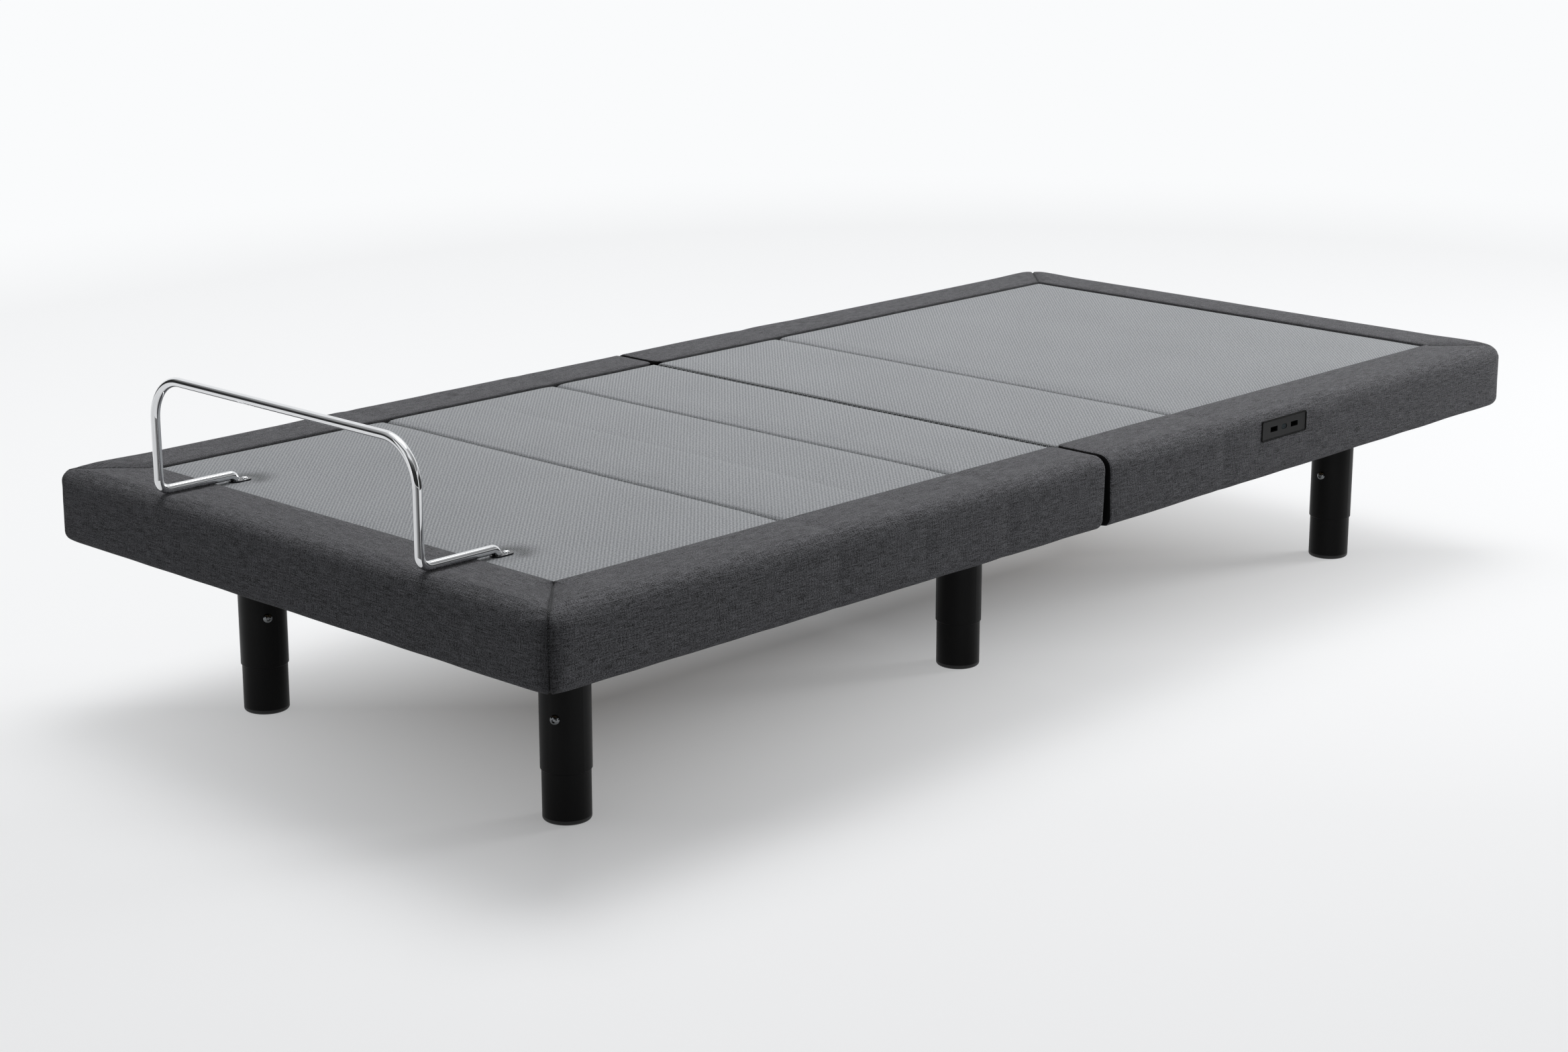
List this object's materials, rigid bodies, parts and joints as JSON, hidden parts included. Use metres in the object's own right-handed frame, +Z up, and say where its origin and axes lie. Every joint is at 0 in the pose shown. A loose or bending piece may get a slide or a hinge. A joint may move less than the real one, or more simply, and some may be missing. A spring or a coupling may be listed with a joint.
{
  "type": "adjustable bed base",
  "caption": "Upholstered adjustable bed base: hinged padded deck on a steel frame with motor lifts, telescopic round legs, a chrome foot retainer bar and a charging plate.",
  "frame": {"origin": "on the floor, under the middle of the bed", "axes": "+X across towards the side with the charging plate, +Y from foot to head, +Z up"},
  "size_m": [0.965, 2.019, 0.498],
  "materials": {
    "charcoal_fabric": "heathered charcoal linen weave over foam",
    "grey_mesh": "light grey knit mesh over foam",
    "plywood": "bare plywood",
    "black_paint": "satin black powder coat",
    "zinc_steel": "zinc plated",
    "chrome": "bright chrome plate",
    "black_plastic": "fine moulded black",
    "cap_plastic": "smooth black glide",
    "aluminium_tube": "drawn tube",
    "socket_metal": "pressed steel shell",
    "light_plastic": "clear light pipe"
  },
  "bodies": {
    "base": {"side_tubes": "black_paint", "cross_tubes": "black_paint", "splice_plates": "black_paint", "frame_bolts": "zinc_steel", "leg_sleeves": "black_paint", "leg_lock_screws": "chrome", "seat_board": "plywood", "lumbar_board": "plywood", "seat_pad": "grey_mesh", "lumbar_pad": "grey_mesh", "middle_rails": "charcoal_fabric", "fixed_hinge_leaves": "zinc_steel", "fixed_hinge_pins": "zinc_steel", "lift_brackets": "black_paint", "actuator_pins": "zinc_steel", "head_motor": "black_plastic", "head_guide_tube": "aluminium_tube", "foot_motor": "black_plastic", "foot_guide_tube": "aluminium_tube", "control_box": "black_plastic", "control_box_lid": "black_plastic", "power_inlet": "black_plastic"},
    "back_section": {"back_board": "plywood", "back_pad": "grey_mesh", "back_rails": "charcoal_fabric", "back_hinge_leaves": "zinc_steel", "roller_tracks": "black_paint", "charging_plate": "black_plastic", "charging_sockets": "socket_metal", "charging_light": "light_plastic"},
    "thigh_section": {"thigh_board": "plywood", "thigh_pad": "grey_mesh", "thigh_rails": "charcoal_fabric", "thigh_hinge_leaves": "zinc_steel", "knee_hinge_pins": "zinc_steel"},
    "calf_section": {"calf_board": "plywood", "calf_pad": "grey_mesh", "calf_rails": "charcoal_fabric", "calf_hinge_leaves": "zinc_steel", "calf_link_brackets": "black_paint", "retainer_bar": "chrome", "retainer_clamps": "chrome", "retainer_screws": "chrome"},
    "head_lift": {"head_lift_arms": "black_paint"},
    "head_rollers": {"head_rollers": "black_plastic"},
    "head_rod": {"head_push_rod": "chrome"},
    "foot_lift": {"foot_lift_arms": "black_paint"},
    "foot_rod": {"foot_push_rod": "chrome"},
    "leg_foot_right": {"leg_post_foot_right": "black_paint", "leg_cap_foot_right": "cap_plastic"},
    "leg_foot_left": {"leg_post_foot_left": "black_paint", "leg_cap_foot_left": "cap_plastic"},
    "leg_mid_right": {"leg_post_mid_right": "black_paint", "leg_cap_mid_right": "cap_plastic"},
    "leg_mid_left": {"leg_post_mid_left": "black_paint", "leg_cap_mid_left": "cap_plastic"},
    "leg_head_right": {"leg_post_head_right": "black_paint", "leg_cap_head_right": "cap_plastic"},
    "leg_head_left": {"leg_post_head_left": "black_paint", "leg_cap_head_left": "cap_plastic"}
  },
  "joints": [
    {"name": "back_lift", "type": "hinge", "parent": "base", "child": "back_section", "pos_m": [0, 0.257, 0.322], "axis": [1, 0, 0], "range_deg": [0, 60]},
    {"name": "thigh_lift", "type": "hinge", "parent": "base", "child": "thigh_section", "pos_m": [0, -0.217, 0.322], "axis": [-1, 0, 0], "range_deg": [0, 40]},
    {"name": "calf_fold", "type": "hinge", "parent": "thigh_section", "child": "calf_section", "pos_m": [0, -0.536, 0.322], "axis": [1, 0, 0], "range_deg": [0, 40.2]},
    {"name": "head_arm_lift", "type": "hinge", "parent": "base", "child": "head_lift", "pos_m": [0, 0.297, 0.272], "axis": [1, 0, 0], "range_deg": [0, 61.87]},
    {"name": "foot_arm_lift", "type": "hinge", "parent": "base", "child": "foot_lift", "pos_m": [0, -0.217, 0.272], "axis": [-1, 0, 0], "range_deg": [0, 40.2]},
    {"name": "head_rod_push", "type": "slide", "parent": "base", "child": "head_rod", "axis": [0, 1, 0], "range_m": [0, 0.09257]},
    {"name": "foot_rod_push", "type": "slide", "parent": "base", "child": "foot_rod", "axis": [0, -1, 0], "range_m": [0, 0.06186]},
    {"name": "roller_spin", "type": "hinge", "parent": "head_lift", "child": "head_rollers", "pos_m": [0, 0.627, 0.2736], "axis": [1, 0, 0], "continuous": true},
    {"name": "leg_height_foot_right", "type": "slide", "parent": "base", "child": "leg_foot_right", "axis": [0, 0, -1], "range_m": [0, 0.05]},
    {"name": "leg_height_foot_left", "type": "slide", "parent": "base", "child": "leg_foot_left", "axis": [0, 0, -1], "range_m": [0, 0.05]},
    {"name": "leg_height_mid_right", "type": "slide", "parent": "base", "child": "leg_mid_right", "axis": [0, 0, -1], "range_m": [0, 0.05]},
    {"name": "leg_height_mid_left", "type": "slide", "parent": "base", "child": "leg_mid_left", "axis": [0, 0, -1], "range_m": [0, 0.05]},
    {"name": "leg_height_head_right", "type": "slide", "parent": "base", "child": "leg_head_right", "axis": [0, 0, -1], "range_m": [0, 0.05]},
    {"name": "leg_height_head_left", "type": "slide", "parent": "base", "child": "leg_head_left", "axis": [0, 0, -1], "range_m": [0, 0.05]}
  ],
  "couplings": [
    {"joint": "calf_fold", "follows": "thigh_lift", "ratio": 1},
    {"joint": "head_arm_lift", "follows": "back_lift", "ratio": 1.0279},
    {"joint": "foot_arm_lift", "follows": "thigh_lift", "ratio": 1},
    {"joint": "head_rod_push", "follows": "back_lift", "m_per_rad": 0.088109},
    {"joint": "foot_rod_push", "follows": "thigh_lift", "m_per_rad": 0.088183}
  ]
}
